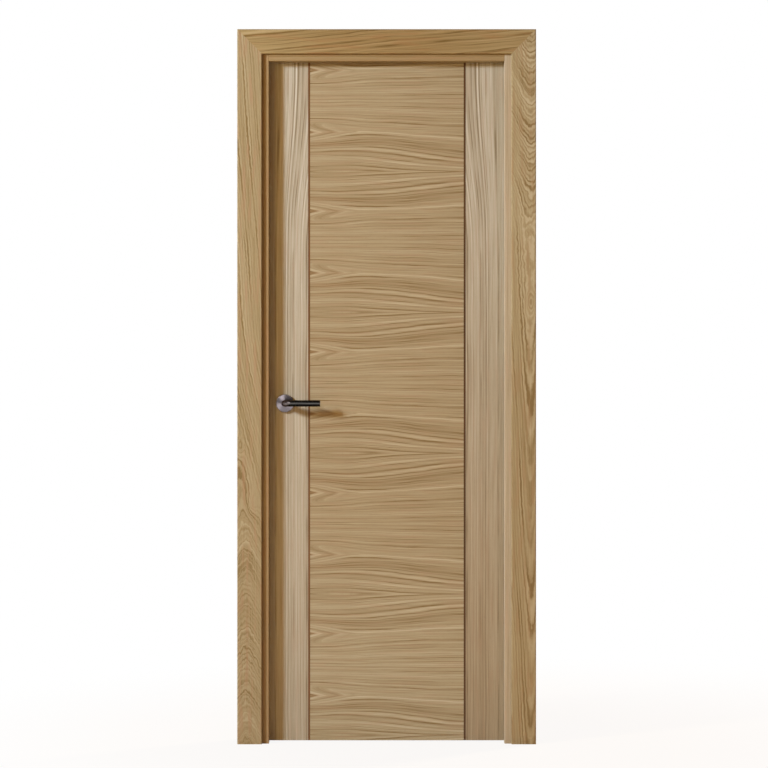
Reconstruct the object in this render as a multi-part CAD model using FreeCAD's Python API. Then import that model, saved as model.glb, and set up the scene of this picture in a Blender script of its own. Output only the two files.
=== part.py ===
import FreeCAD, Part

import math
import os

from FreeCAD import Vector

# A veneered interior door set: rebated frame, mitred architraves on both sides, a flush leaf
# with three veneer fields a side, lift-off hinges and a lever set.
#
# All sizes are millimetres. +Z is up and the front, with the architraves that the room sees,
# faces -Y. The lock side is at -X and the hinge side at +X. The leaf opens towards +Y.
# The origin is on the wall face of the hinge jamb, at floor level, halfway through the frame.

# Leaf
leaf_width = 700.0
leaf_height = 2000.0
leaf_thickness = 38.0
skin_thickness = 3.0
lipping_thickness = 10.0
leaf_arris = 1.0
inlay_width = 6.0
inlay_recess = 0.4
inlay_from_edge = 121.0

# Running gaps round the closed leaf
hinge_gap = 5.0
lock_clearance = 5.1
top_gap = 5.0
floor_gap = 4.0
stop_gap = 5.0

# Frame
frame_depth = 75.0
frame_thickness = 32.0
rebate_depth = 11.0
frame_arris = 1.5

# Architraves
architrave_width = 72.0
architrave_thickness = 12.0
architrave_arris = 3.0
front_reveal = 20.0
back_setback = 13.5

# Hinges
hinge_from_top = 200.0
hinge_from_bottom = 250.0
hinge_length = 100.0
hinge_plate_width = 27.0
hinge_plate_thickness = 2.5
hinge_corner = 8.0
knuckle_diameter = 14.0
knuckle_standoff = 1.0
knuckle_play = 0.4
knuckle_cap = 4.0
knuckle_chamfer = 1.0
pin_diameter = 7.0
pin_clearance = 0.05
pin_end_play = 0.3

# Lever set
handle_height = 996.0
backset = 50.0
rose_diameter = 52.0
rose_thickness = 9.0
rose_chamfer = 1.0
rose_clearance = 0.1
neck_diameter = 19.0
grip_length = 105.0
grip_standoff = 48.0
elbow_radius = 17.0
grip_chamfer = 0.8
spindle_side = 8.0
spindle_grip = 22.0
spindle_clearance = 0.05
spindle_bore = 22.0

# Latch in the edge of the leaf
plate_height = 165.0
plate_width = 20.0
plate_thickness = 3.0
round_end_share = 0.999
case_depth = 72.0
case_thickness = 14.0
case_above = 36.0
case_below = 58.0
follower_diameter = 20.0
follower_clearance = 0.05
bolt_length = 26.0
bolt_width = 10.0
bolt_height = 17.0
bolt_bevel = 6.0
bolt_clearance = 0.2

# Strike plate in the lock jamb
strike_thickness = 2.5
strike_slot_margin = 2.0
strike_pocket_depth = 13.0

# Places that follow from the sizes, in the depth of the frame
frame_front = -frame_depth / 2
frame_back = frame_depth / 2
leaf_back = frame_back
leaf_front = leaf_back - leaf_thickness
leaf_middle = (leaf_front + leaf_back) / 2
stop_back = leaf_front - stop_gap
core_front = leaf_front + skin_thickness
core_back = leaf_back - skin_thickness

# The hinge pins stand behind the leaf, in the middle of the hinge gap
hinge_axis_back = leaf_back + knuckle_standoff + knuckle_diameter / 2
hinge_rebate_x = -(frame_thickness - rebate_depth)
hinge_stop_x = -frame_thickness
hinge_edge_x = hinge_rebate_x - hinge_gap
hinge_axis_x = hinge_edge_x + hinge_gap / 2

# The front arris of the lock edge swings outwards before it comes in, so its gap is wider
swing_across = leaf_width + hinge_gap / 2
swing_outwards = math.hypot(swing_across, hinge_axis_back - leaf_front) - swing_across
lock_edge_x = hinge_edge_x - leaf_width
lock_rebate_x = lock_edge_x - swing_outwards - lock_clearance
lock_stop_x = lock_rebate_x + rebate_depth
lock_wall_x = lock_rebate_x - (frame_thickness - rebate_depth)
hinge_wall_x = 0.0

# Heights
leaf_bottom = floor_gap
leaf_top = leaf_bottom + leaf_height
head_rebate_z = leaf_top + top_gap
head_stop_z = head_rebate_z - rebate_depth
frame_top = head_rebate_z + frame_thickness - rebate_depth

# Handle and latch
spindle_x = lock_edge_x + backset
hinge_heights = {
    "bottom": leaf_bottom + hinge_from_bottom,
    "middle": leaf_bottom + (hinge_from_bottom + leaf_height - hinge_from_top) / 2,
    "top": leaf_top - hinge_from_top,
}

ALONG_X = Vector(1, 0, 0)
ALONG_Y = Vector(0, 1, 0)
ALONG_Z = Vector(0, 0, 1)


def box(x_low, x_high, y_low, y_high, z_low, z_high):
    """A block between two values on each axis."""
    corner = Vector(x_low, y_low, z_low)
    return Part.makeBox(x_high - x_low, y_high - y_low, z_high - z_low, corner)


def rounded_face(corners):
    """A flat face through its corners, each given as a point and the radius that rounds it."""
    edges = []
    ends = []
    for index, (corner, radius) in enumerate(corners):
        into = (corner - corners[index - 1][0]).normalize()
        out = (corners[(index + 1) % len(corners)][0] - corner).normalize()
        half_turn = into.getAngle(out) / 2
        reach = radius * math.tan(half_turn)
        start = corner - into * reach
        end = corner + out * reach
        if radius > 0:
            sagitta = radius / math.cos(half_turn) - radius
            middle = corner + (out - into).normalize() * sagitta
            edges.append(Part.Arc(start, middle, end).toShape())
        ends.append((start, end))
    for index, (start, end) in enumerate(ends):
        edges.append(Part.LineSegment(ends[index - 1][1], start).toShape())
    return Part.Face(Part.Wire(Part.sortEdges(edges)[0]))


def save(name, shape):
    """Write one piece under its own name."""
    if shape.ShapeType == "Compound" and len(shape.Solids) == 1:
        shape = shape.Solids[0]
    shape.exportStep("parts/" + name + ".step")
    box_of = shape.BoundBox
    print(
        f"{name:28s} {len(shape.Solids)} solid, {box_of.XLength:7.1f} x"
        f" {box_of.YLength:6.1f} x {box_of.ZLength:7.1f} mm"
    )


# Frame


def frame_boards(place):
    """The two boards of a frame member, glued edge to edge: the thin one that the leaf closes
    into and the thick one that it stops against. Place turns a distance from the wall face and
    a depth into a point."""
    thin = frame_thickness - rebate_depth
    lining = rounded_face([
        (place(0, stop_back), 0),
        (place(thin, stop_back), 0),
        (place(thin, frame_back), frame_arris),
        (place(0, frame_back), 0),
    ])
    stop = rounded_face([
        (place(0, frame_front), 0),
        (place(frame_thickness, frame_front), frame_arris),
        (place(frame_thickness, stop_back), frame_arris),
        (place(0, stop_back), 0),
    ])
    return lining, stop


def hinge_mortises(from_x, to_x):
    """The hollows that let the hinge plates in, between two values of X."""
    return Part.makeCompound([
        plate_blank(from_x, to_x, height) for height in hinge_heights.values()
    ])


def make_jambs():
    """Both uprights run from the floor to the top of the frame."""
    lining, stop = frame_boards(lambda u, y: Vector(hinge_wall_x - u, y, 0))
    plates = hinge_mortises(hinge_rebate_x, hinge_rebate_x + hinge_plate_thickness)
    save("jamb_hinge_side", lining.extrude(ALONG_Z * frame_top).cut(plates))
    save("stop_hinge_side", stop.extrude(ALONG_Z * frame_top))

    lining, stop = frame_boards(lambda u, y: Vector(lock_wall_x + u, y, 0))
    plate = edge_plate(lock_rebate_x - strike_thickness, lock_rebate_x)
    pocket = strike_slot(lock_rebate_x - strike_pocket_depth, lock_rebate_x)
    save("jamb_lock_side", lining.extrude(ALONG_Z * frame_top).cut([plate, pocket]))
    save("stop_lock_side", stop.extrude(ALONG_Z * frame_top))


def make_head():
    """The head lies between the jambs, its lining between their linings."""
    lining, _ = frame_boards(lambda u, y: Vector(lock_rebate_x, y, frame_top - u))
    _, stop = frame_boards(lambda u, y: Vector(lock_stop_x, y, frame_top - u))
    save("head_jamb", lining.extrude(ALONG_X * (hinge_rebate_x - lock_rebate_x)))
    save("stop_head", stop.extrude(ALONG_X * (hinge_stop_x - lock_stop_x)))


# Architraves


def architrave_section(place, reach):
    """A flat board with eased face arrises: reach points away from the frame."""
    return rounded_face([
        (place(0, 0), 0),
        (place(architrave_width, 0), 0),
        (place(architrave_width, reach), architrave_arris),
        (place(0, reach), architrave_arris),
    ])


def mitred(board, outline, face_y, reach):
    """The part of a board inside a flat outline with mitred ends."""
    points = [Vector(x, face_y, z) for x, z in outline]
    return board.common(Part.Face(Part.makePolygon(points + points[:1])).extrude(ALONG_Y * reach))


def make_architraves(side, face_y, direction, overlap):
    """Two uprights and a head, mitred at the corners, lapping the frame by a set amount."""
    reach = direction * architrave_thickness
    left_inner = lock_wall_x + overlap
    right_inner = hinge_wall_x - overlap
    head_inner = frame_top - overlap
    left_outer = left_inner - architrave_width
    right_outer = right_inner + architrave_width
    head_outer = head_inner + architrave_width

    left = architrave_section(lambda u, v: Vector(left_inner - u, face_y + v, 0), reach)
    right = architrave_section(lambda u, v: Vector(right_inner + u, face_y + v, 0), reach)
    head = architrave_section(lambda u, v: Vector(left_outer, face_y + v, head_inner + u), reach)
    outlines = {
        "left": [(left_outer, 0), (left_inner, 0), (left_inner, head_inner), (left_outer, head_outer)],
        "right": [(right_inner, 0), (right_outer, 0), (right_outer, head_outer), (right_inner, head_inner)],
        "head": [
            (left_inner, head_inner), (right_inner, head_inner),
            (right_outer, head_outer), (left_outer, head_outer),
        ],
    }
    boards = {
        "left": left.extrude(ALONG_Z * head_outer),
        "right": right.extrude(ALONG_Z * head_outer),
        "head": head.extrude(ALONG_X * (right_outer - left_outer)),
    }
    for name, board in boards.items():
        save("architrave_" + side + "_" + name, mitred(board, outlines[name], face_y, reach))


# Hinges


def plate_blank(x_low, x_high, height):
    """One hinge plate with rounded front corners, as the plate and as its mortise."""
    front = leaf_back - hinge_plate_width
    low = height - hinge_length / 2
    high = height + hinge_length / 2
    blank = rounded_face([
        (Vector(x_low, leaf_back, low), 0),
        (Vector(x_low, front, low), hinge_corner),
        (Vector(x_low, front, high), hinge_corner),
        (Vector(x_low, leaf_back, high), 0),
    ])
    return blank.extrude(ALONG_X * (x_high - x_low))


def hinge_half(height, plate_low_x, upwards):
    """Plate, web and knuckle of one half, with the blind bore for the pin."""
    plate_high_x = plate_low_x + hinge_plate_thickness
    half_length = hinge_length / 2
    near = height + upwards * knuckle_play / 2
    far = height + upwards * half_length
    low, high = min(near, far), max(near, far)
    foot = Vector(hinge_axis_x, hinge_axis_back, low)
    knuckle = Part.makeCylinder(knuckle_diameter / 2, high - low, foot, ALONG_Z)
    end = [e for e in knuckle.Edges if e.Closed and abs(e.CenterOfMass.z - far) < knuckle_play / 4]
    knuckle = knuckle.makeChamfer(knuckle_chamfer, end)
    web = box(plate_low_x, plate_high_x, leaf_back, hinge_axis_back, low, high)
    half = plate_blank(plate_low_x, plate_high_x, height).fuse([web, knuckle]).removeSplitter()
    bore_low = min(near, far - upwards * knuckle_cap)
    bore_foot = Vector(hinge_axis_x, hinge_axis_back, bore_low)
    bore_length = abs(far - near) - knuckle_cap
    return half.cut(Part.makeCylinder(pin_diameter / 2 + pin_clearance, bore_length, bore_foot, ALONG_Z))


def make_hinges():
    """Three lift-off hinges: the frame half carries the pin and the leaf half drops over it."""
    pin_length = hinge_length - 2 * knuckle_cap - pin_end_play
    for name, height in hinge_heights.items():
        save("hinge_frame_half_" + name, hinge_half(height, hinge_rebate_x, -1))
        save("hinge_leaf_half_" + name, hinge_half(height, hinge_edge_x - hinge_plate_thickness, 1))
        foot = Vector(hinge_axis_x, hinge_axis_back, height - hinge_length / 2 + knuckle_cap)
        pin = Part.makeCylinder(pin_diameter / 2, pin_length, foot, ALONG_Z)
        save("hinge_pin_" + name, pin)


# Leaf


def spindle_hole(diameter, y_low, y_high):
    """A round hole on the spindle's axis between two depths."""
    start = Vector(spindle_x, y_low, handle_height)
    return Part.makeCylinder(diameter / 2, y_high - y_low, start, ALONG_Y)


def latch_body():
    """The outer block of the latch case behind its face plate."""
    front_x = lock_edge_x + plate_thickness
    y_low = leaf_middle - case_thickness / 2
    y_high = leaf_middle + case_thickness / 2
    low = handle_height - case_below
    return box(front_x, front_x + case_depth, y_low, y_high, low, handle_height + case_above)


def make_core():
    """The board inside the skins and lippings, with the latch pocket and the spindle hole."""
    core = box(
        lock_edge_x + lipping_thickness, hinge_edge_x - lipping_thickness, core_front, core_back,
        leaf_bottom + lipping_thickness, leaf_top - lipping_thickness,
    )
    core = core.cut(latch_body())
    save("leaf_core", core.cut(spindle_hole(spindle_bore, core_front, core_back)))


def make_lippings():
    """Solid edge strips: the uprights run full height and the other two lie between them."""
    lock_inner_x = lock_edge_x + lipping_thickness
    hinge_inner_x = hinge_edge_x - lipping_thickness
    lock = box(lock_edge_x, lock_inner_x, core_front, core_back, leaf_bottom, leaf_top)
    lock = lock.cut(latch_body()).cut(edge_plate(lock_edge_x, lock_edge_x + plate_thickness))
    save("lipping_lock_edge", lock)
    hinge = box(hinge_inner_x, hinge_edge_x, core_front, core_back, leaf_bottom, leaf_top)
    save("lipping_hinge_edge", hinge.cut(leaf_mortises()))
    for name, low in (("bottom", leaf_bottom), ("top", leaf_top - lipping_thickness)):
        strip = box(
            lock_inner_x, hinge_inner_x, core_front, core_back, low, low + lipping_thickness
        )
        save("lipping_" + name + "_edge", strip)


def leaf_mortises():
    """The hollows for the leaf halves of the hinges."""
    return hinge_mortises(hinge_edge_x - hinge_plate_thickness, hinge_edge_x)


def field(x_low, x_high, y_inner, y_face, arris_low, arris_high):
    """One veneered panel of a face: its arrises are eased where they are the leaf's own."""
    section = rounded_face([
        (Vector(x_low, y_inner, leaf_bottom), 0),
        (Vector(x_high, y_inner, leaf_bottom), 0),
        (Vector(x_high, y_face, leaf_bottom), arris_high),
        (Vector(x_low, y_face, leaf_bottom), arris_low),
    ])
    return section.extrude(ALONG_Z * leaf_height)


def make_faces():
    """Three fields and two inlay strips on each face of the leaf."""
    left_inlay = lock_edge_x + inlay_from_edge
    right_inlay = hinge_edge_x - inlay_from_edge
    half = inlay_width / 2
    for side, y_inner, y_face in (("front", core_front, leaf_front), ("back", core_back, leaf_back)):
        fields = {
            "left": field(lock_edge_x, left_inlay - half, y_inner, y_face, leaf_arris, 0),
            "centre": field(left_inlay + half, right_inlay - half, y_inner, y_face, 0, 0),
            "right": field(right_inlay + half, hinge_edge_x, y_inner, y_face, 0, leaf_arris),
        }
        hole = spindle_hole(spindle_bore, min(y_inner, y_face), max(y_inner, y_face))
        fields["left"] = fields["left"].cut(hole)
        if side == "back":
            fields["right"] = fields["right"].cut(leaf_mortises())
        for name, panel in fields.items():
            save("veneer_" + side + "_" + name, panel)
        inlay_face = y_face + math.copysign(inlay_recess, y_inner - y_face)
        y_low, y_high = min(y_inner, inlay_face), max(y_inner, inlay_face)
        for name, x in (("left", left_inlay), ("right", right_inlay)):
            strip = box(x - half, x + half, y_low, y_high, leaf_bottom, leaf_top)
            save("inlay_" + side + "_" + name, strip)


# Latch and strike


def edge_plate(x_low, x_high):
    """An upright plate with round ends, as the plate and as its mortise."""
    round_end = plate_width / 2
    y_low = leaf_middle - round_end
    y_high = leaf_middle + round_end
    low = handle_height - plate_height / 2
    high = handle_height + plate_height / 2
    nearly_round = round_end * round_end_share
    outline = rounded_face([
        (Vector(x_low, y_low, low), nearly_round),
        (Vector(x_low, y_high, low), nearly_round),
        (Vector(x_low, y_high, high), nearly_round),
        (Vector(x_low, y_low, high), nearly_round),
    ])
    return outline.extrude(ALONG_X * (x_high - x_low))


def bolt_window(x_low, x_high, margin):
    """A rectangular hole that the latch bolt passes, with a margin all round."""
    half_width = bolt_width / 2 + margin
    half_height = bolt_height / 2 + margin
    return box(
        x_low, x_high, leaf_middle - half_width, leaf_middle + half_width,
        handle_height - half_height, handle_height + half_height,
    )


def strike_slot(x_low, x_high):
    """The slot in the strike plate and the pocket behind it."""
    return bolt_window(x_low, x_high, strike_slot_margin)


def make_latch():
    """Case, face plate and bolt in the leaf, and the strike plate in the jamb."""
    bolt_tail_x = lock_edge_x + bolt_length
    case_front_x = lock_edge_x + plate_thickness
    case = latch_body().cut(bolt_window(case_front_x, bolt_tail_x, bolt_clearance))
    follower_hole = spindle_hole(follower_diameter + 2 * follower_clearance, core_front, core_back)
    save("latch_case", case.cut(follower_hole))

    plate = edge_plate(lock_edge_x, case_front_x)
    plate = plate.cut(bolt_window(lock_edge_x, case_front_x, bolt_clearance))
    save("latch_face_plate", plate)

    y_low = leaf_middle - bolt_width / 2
    y_high = leaf_middle + bolt_width / 2
    low = handle_height - bolt_height / 2
    nose = [
        Vector(lock_edge_x + bolt_bevel, y_low, low),
        Vector(bolt_tail_x, y_low, low),
        Vector(bolt_tail_x, y_high, low),
        Vector(lock_edge_x, y_high, low),
    ]
    bolt = Part.Face(Part.makePolygon(nose + nose[:1])).extrude(ALONG_Z * bolt_height)
    save("latch_bolt", bolt)

    strike = edge_plate(lock_rebate_x - strike_thickness, lock_rebate_x)
    save("strike_plate", strike.cut(strike_slot(lock_rebate_x - strike_thickness, lock_rebate_x)))


# Lever set


def spindle_bar(clearance, y_low, y_high):
    """The square bar through the leaf, as the bar and as its socket."""
    half = spindle_side / 2 + clearance
    return box(
        spindle_x - half, spindle_x + half, y_low, y_high, handle_height - half, handle_height + half
    )


def make_rose(name, face_y, outwards):
    """A round rose against a face of the leaf, bored for the neck of its lever."""
    start = Vector(spindle_x, face_y, handle_height)
    rose = Part.makeCylinder(rose_diameter / 2, rose_thickness, start, ALONG_Y * outwards)
    front_y = face_y + outwards * rose_thickness
    rim = [e for e in rose.Edges if e.Closed and abs(e.CenterOfMass.y - front_y) < rose_chamfer / 2]
    rose = rose.makeChamfer(rose_chamfer, rim)
    hole = neck_diameter + 2 * rose_clearance
    save(name, rose.cut(spindle_hole(hole, min(face_y, front_y), max(face_y, front_y))))


def make_lever(name, face_y, outwards):
    """A round bar that leaves the rose, turns through an elbow and runs towards the hinges."""
    radius = neck_diameter / 2
    out = ALONG_Y * outwards
    foot = Vector(spindle_x, face_y, handle_height)
    neck = Part.makeCylinder(radius, grip_standoff - elbow_radius, foot, out)
    bend = foot + out * (grip_standoff - elbow_radius)
    ring = Part.Face(Part.Wire(Part.makeCircle(radius, bend, out)))
    elbow_centre = bend + ALONG_X * elbow_radius
    elbow = ring.revolve(elbow_centre, ALONG_Z, -90 * outwards)
    grip_start = elbow_centre + out * elbow_radius
    grip = Part.makeCylinder(radius, grip_length - elbow_radius, grip_start, ALONG_X)
    tip_x = spindle_x + grip_length
    rim = [e for e in grip.Edges if e.Closed and abs(e.CenterOfMass.x - tip_x) < grip_chamfer]
    grip = grip.makeChamfer(grip_chamfer, rim)
    lever = neck.fuse([elbow, grip])
    socket_end = face_y + outwards * spindle_grip
    socket = spindle_bar(spindle_clearance, min(face_y, socket_end), max(face_y, socket_end))
    save(name, lever.cut(socket))


def make_lever_set():
    """Roses on both faces, two levers on one square spindle and the follower that it turns."""
    for side, face_y, outwards in (("front", leaf_front, -1), ("back", leaf_back, 1)):
        make_rose("rose_" + side, face_y, outwards)
        make_lever("lever_" + side, face_y, outwards)
    save("spindle", spindle_bar(0, leaf_front - spindle_grip, leaf_back + spindle_grip))
    half_case = case_thickness / 2
    follower = spindle_hole(follower_diameter, leaf_middle - half_case, leaf_middle + half_case)
    save("latch_follower", follower.cut(spindle_bar(spindle_clearance, leaf_front, leaf_back)))


os.makedirs("parts", exist_ok=True)

make_jambs()
make_head()
make_architraves("front", frame_front, -1, frame_thickness - front_reveal)
make_architraves("back", frame_back, 1, frame_thickness - rebate_depth - back_setback)
make_hinges()
make_core()
make_lippings()
make_faces()
make_latch()
make_lever_set()

print(f"lock gap {lock_edge_x - lock_rebate_x:.2f} mm, opening {hinge_stop_x - lock_stop_x:.1f} mm")
print(f"hinge axis at X {hinge_axis_x:.2f}, Y {hinge_axis_back:.2f}; spindle at X {spindle_x:.2f}")
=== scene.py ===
# %% [markdown]
# # A veneered door in oak and steel
# The door comes in as a fixed model: a frame with mitred architraves, a flush leaf and its
# metalwork, every piece at its real size in metres. What is missing is what makes it look like
# wood and steel. The lesson builds the studio first, then one veneer effect that every wooden
# surface shares, then the metals, and last the domes of the roses and the small screws.

import math

import bmesh
import bpy
from mathutils import Matrix, Vector


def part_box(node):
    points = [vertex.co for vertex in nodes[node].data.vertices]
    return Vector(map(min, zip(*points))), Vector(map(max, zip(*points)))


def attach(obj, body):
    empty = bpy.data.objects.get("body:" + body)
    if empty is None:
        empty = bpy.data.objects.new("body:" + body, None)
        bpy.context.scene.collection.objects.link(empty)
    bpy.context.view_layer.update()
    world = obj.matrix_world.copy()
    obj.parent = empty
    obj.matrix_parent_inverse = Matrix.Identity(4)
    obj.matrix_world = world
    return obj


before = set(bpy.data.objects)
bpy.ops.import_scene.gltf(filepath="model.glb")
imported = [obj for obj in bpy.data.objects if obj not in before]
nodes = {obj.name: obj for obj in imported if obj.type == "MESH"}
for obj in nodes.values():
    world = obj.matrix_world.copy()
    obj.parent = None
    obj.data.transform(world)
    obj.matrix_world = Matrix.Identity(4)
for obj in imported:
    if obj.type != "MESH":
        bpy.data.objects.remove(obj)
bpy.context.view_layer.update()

# %% [markdown]
# ## Sizes read from the model
# Every place below is worked out from the pieces themselves. The leaf is a set of panels, so its
# outline comes from its own edge strips, and the camera is set against the front architraves.

# %% Sizes read from the model


def span(name, axis):
    """Lowest and highest value of one piece along an axis, in metres."""
    low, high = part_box(name)
    return low[axis], high[axis]


def middle_of(name, axis):
    """The middle of one piece along an axis."""
    return sum(span(name, axis)) / 2


X, Y, Z = 0, 1, 2
leaf_left = span("lipping_lock_edge", X)[0]
leaf_right = span("lipping_hinge_edge", X)[1]
leaf_bottom, leaf_top = span("lipping_lock_edge", Z)
centre_left, centre_right = span("veneer_front_centre", X)
outer_left = span("architrave_front_left", X)[0]
outer_right = span("architrave_front_right", X)[1]
architrave_face = span("architrave_front_head", Y)[0]
head_low = span("architrave_front_head", Z)[0]
door_middle = (outer_left + outer_right) / 2

print(f"leaf {leaf_right - leaf_left:.3f} x {leaf_top - leaf_bottom:.3f} m")

# %% [markdown]
# ## The camera
# The picture is square and shows the door straight on with no leaning verticals, so the camera
# is level and looks along +Y from near mid-height. A long lens from several metres away keeps
# the depth of the frame from showing. The lens follows from the width that the picture covers.

# %% The camera
camera_distance = 6.5
camera_height = 1.0528
camera_aside = -0.0078
picture_width = 2.244
sensor_width = 36.0

camera = bpy.data.objects.new("camera", bpy.data.cameras.new("camera"))
bpy.context.scene.collection.objects.link(camera)
camera.location = (door_middle + camera_aside, architrave_face - camera_distance, camera_height)
camera.rotation_euler = (math.pi / 2, 0, 0)
camera.data.sensor_width = sensor_width
camera.data.lens = sensor_width * camera_distance / picture_width
bpy.context.scene.camera = camera

print(f"lens {camera.data.lens:.1f} mm")

# %% [markdown]
# ## The studio
# The shadows say where the light stands. The stop throws a band on the leaf a little wider than
# it is deep, so the main lamp is well to the left. Under the head the shadow is short and under
# the lever it is long, so the lamp is near and not much higher than the door. Inside the band a
# narrower one is darker still, and that is the work of a weaker and warmer lamp nearer the
# middle. The same pair stands behind, because the back is seen too. A weak warm sky fills the
# shadows, as light does that comes back from wood.

# %% The studio
lamp_ahead = 3.0
lamp_aside = 3.6
lamp_height = 3.0
lamp_size = 0.75
lamp_power = 272.0
lamp_colour = (0.953, 1.048, 1.275)
second_aside = 1.35
second_height = 2.4
second_power = 24.0
second_colour = (1.0, 0.62, 0.16)
fill_colour = (1.0, 0.36, 0.0, 1.0)
fill_strength = 0.23


def add_lamp(name, place, power, colour):
    """A square lamp that faces the middle of the door, and that metal doesn't mirror."""
    lamp = bpy.data.objects.new(name, bpy.data.lights.new(name, "AREA"))
    bpy.context.scene.collection.objects.link(lamp)
    lamp.data.energy = power
    lamp.data.size = lamp_size
    lamp.data.color = colour
    lamp.visible_glossy = False
    lamp.location = place
    aim = Vector((door_middle, 0.0, camera_height)) - lamp.location
    lamp.rotation_euler = aim.to_track_quat("-Z", "Y").to_euler()


for aside, height, power, colour in (
    (lamp_aside, lamp_height, lamp_power, lamp_colour),
    (second_aside, second_height, second_power, second_colour),
):
    add_lamp("front_lamp", (outer_left - aside, architrave_face - lamp_ahead, height), power, colour)
    add_lamp("back_lamp", (outer_right + aside, lamp_ahead, height), power, colour)
bpy.context.scene.view_settings.view_transform = "Standard"

for lamp in [item for item in bpy.data.objects if item.type == "LIGHT"]:
    print(lamp.name, "at", tuple(round(value, 2) for value in lamp.location))

# %% [markdown]
# ## Short words for nodes
# Every look on this door is a net of small nodes, and written out in full a net is hard to read.
# So each kind of step gets a short function: it makes one node, fills its sockets with a link, a
# colour or a number, and gives back what comes out. Sums of them then read like plain formulas.

# %% Short words for nodes


def add_node(tree, kind, **settings):
    """One node with its settings."""
    node = tree.nodes.new(kind)
    for name, value in settings.items():
        setattr(node, name, value)
    return node


def feed(tree, target, value):
    """Give a socket a link, a colour or a number."""
    if isinstance(value, bpy.types.NodeSocket):
        tree.links.new(value, target)
    else:
        target.default_value = value


def axes(tree, vector):
    """The three values of a vector."""
    node = add_node(tree, "ShaderNodeSeparateXYZ")
    tree.links.new(vector, node.inputs[0])
    return node.outputs


def calc(tree, operation, *values):
    """The result of one maths node."""
    node = add_node(tree, "ShaderNodeMath", operation=operation)
    for socket, value in zip(node.inputs, values):
        feed(tree, socket, value)
    return node.outputs[0]


def remap(tree, value, low, high, to_low=0.0, to_high=1.0, smooth=True):
    """A value moved from one range to another and held inside it."""
    kind = "SMOOTHSTEP" if smooth else "LINEAR"
    node = add_node(tree, "ShaderNodeMapRange", interpolation_type=kind)
    for socket, item in zip(node.inputs, (value, low, high, to_low, to_high)):
        feed(tree, socket, item)
    return node.outputs["Result"]


def background(tree, colour, strength):
    """The light of one background."""
    node = add_node(tree, "ShaderNodeBackground")
    feed(tree, node.inputs["Color"], colour)
    feed(tree, node.inputs["Strength"], strength)
    return node.outputs[0]


def choose(tree, share, first, second):
    """Two shaders mixed."""
    node = add_node(tree, "ShaderNodeMixShader")
    for socket, value in zip(node.inputs, (share, first, second)):
        feed(tree, socket, value)
    return node.outputs[0]


print("add_node, feed, axes, calc, remap, background and choose are ready")

# %% [markdown]
# ## The world
# To the camera the world is plain white. Polished metal shows what stands round it. The round bar
# of the lever has a thin pale streak just under its middle, between black edges, and the turned
# rose is pale below and dark above with one bright wedge. Both mirror a dark room with a pale
# floor and one high window. So reflections see a pale band that ends at the horizon, and a soft
# spot high to the left, which the grooves of the rose draw out into the wedge. A second spot
# behind the door does the same for the back.

# %% The world
band_top = (0.05, -0.07)
band_foot = (-0.46, -0.28)
band_brightness = 2.0
dark_brightness = 0.02
spot_place = (0.29, 0.82, 0.50)
spot_brightness = 3.8
spot_edge = 0.955
spot_middle = 0.99
white = (1.0, 1.0, 1.0, 1.0)

world = bpy.data.worlds.new("studio")
world.use_nodes = True
tree = world.node_tree
tree.nodes.clear()
rays = add_node(tree, "ShaderNodeLightPath").outputs
looking = add_node(tree, "ShaderNodeTexCoord").outputs["Generated"]
upwards = axes(tree, looking)[Z]
band = calc(tree, "MULTIPLY", remap(tree, upwards, *band_top), remap(tree, upwards, *band_foot))
band = calc(tree, "MULTIPLY_ADD", band, band_brightness, dark_brightness)
for side in (-1, 1):
    towards = add_node(tree, "ShaderNodeVectorMath", operation="DOT_PRODUCT")
    tree.links.new(looking, towards.inputs[0])
    window = Vector((side * spot_place[X], side * spot_place[Y], spot_place[Z]))
    towards.inputs[1].default_value = window.normalized()
    spot = remap(tree, towards.outputs["Value"], spot_edge, spot_middle, 0.0, spot_brightness)
    band = calc(tree, "ADD", band, spot)
fill = background(tree, fill_colour, fill_strength)
light = choose(tree, rays["Is Glossy Ray"], fill, background(tree, white, band))
plain = calc(tree, "MAXIMUM", rays["Is Camera Ray"], rays["Is Transmission Ray"])
light = choose(tree, plain, light, background(tree, white, 1.0))
tree.links.new(light, add_node(tree, "ShaderNodeOutputWorld").inputs["Surface"])
bpy.context.scene.world = world

print("world", world.name)

# %% [markdown]
# ## The floor
# A plain pale floor carries the shadow of the door. The light that it sends back is warm, as from
# boards, and browns the shadow behind the stop. The camera looks almost along the floor, which
# would draw a band behind the door. To the camera it is therefore mostly plain white, and near
# the door only, a small share of its real light and shadow shows.

# %% The floor
floor_half = 12.0
floor_colour = (0.76, 0.54, 0.28, 1.0)
shadow_share = 0.10
shadow_near = 0.4
shadow_far = 2.2

mesh = bpy.data.meshes.new("floor")
shape = bmesh.new()
bmesh.ops.create_grid(shape, x_segments=1, y_segments=1, size=floor_half)
shape.to_mesh(mesh)
shape.free()
floor = bpy.data.objects.new("floor", mesh)
bpy.context.scene.collection.objects.link(floor)
floor.visible_glossy = False

floor_material = bpy.data.materials.new("floor")
floor_material.use_nodes = True
tree = floor_material.node_tree
tree.nodes.clear()
matt = add_node(tree, "ShaderNodeBsdfDiffuse")
matt.inputs["Color"].default_value = floor_colour
glow = add_node(tree, "ShaderNodeEmission")
place = add_node(tree, "ShaderNodeTexCoord").outputs["Object"]
length = add_node(tree, "ShaderNodeVectorMath", operation="LENGTH")
tree.links.new(place, length.inputs[0])
share = remap(tree, length.outputs["Value"], shadow_near, shadow_far, shadow_share, 0.0)
white_share = calc(tree, "SUBTRACT", 1.0, share)
seen = add_node(tree, "ShaderNodeLightPath").outputs["Is Camera Ray"]
surface = choose(tree, calc(tree, "MULTIPLY", seen, white_share), matt.outputs[0], glow.outputs[0])
tree.links.new(surface, add_node(tree, "ShaderNodeOutputMaterial").inputs["Surface"])
mesh.materials.append(floor_material)

print("floor", 2 * floor_half, "m square")

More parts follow.
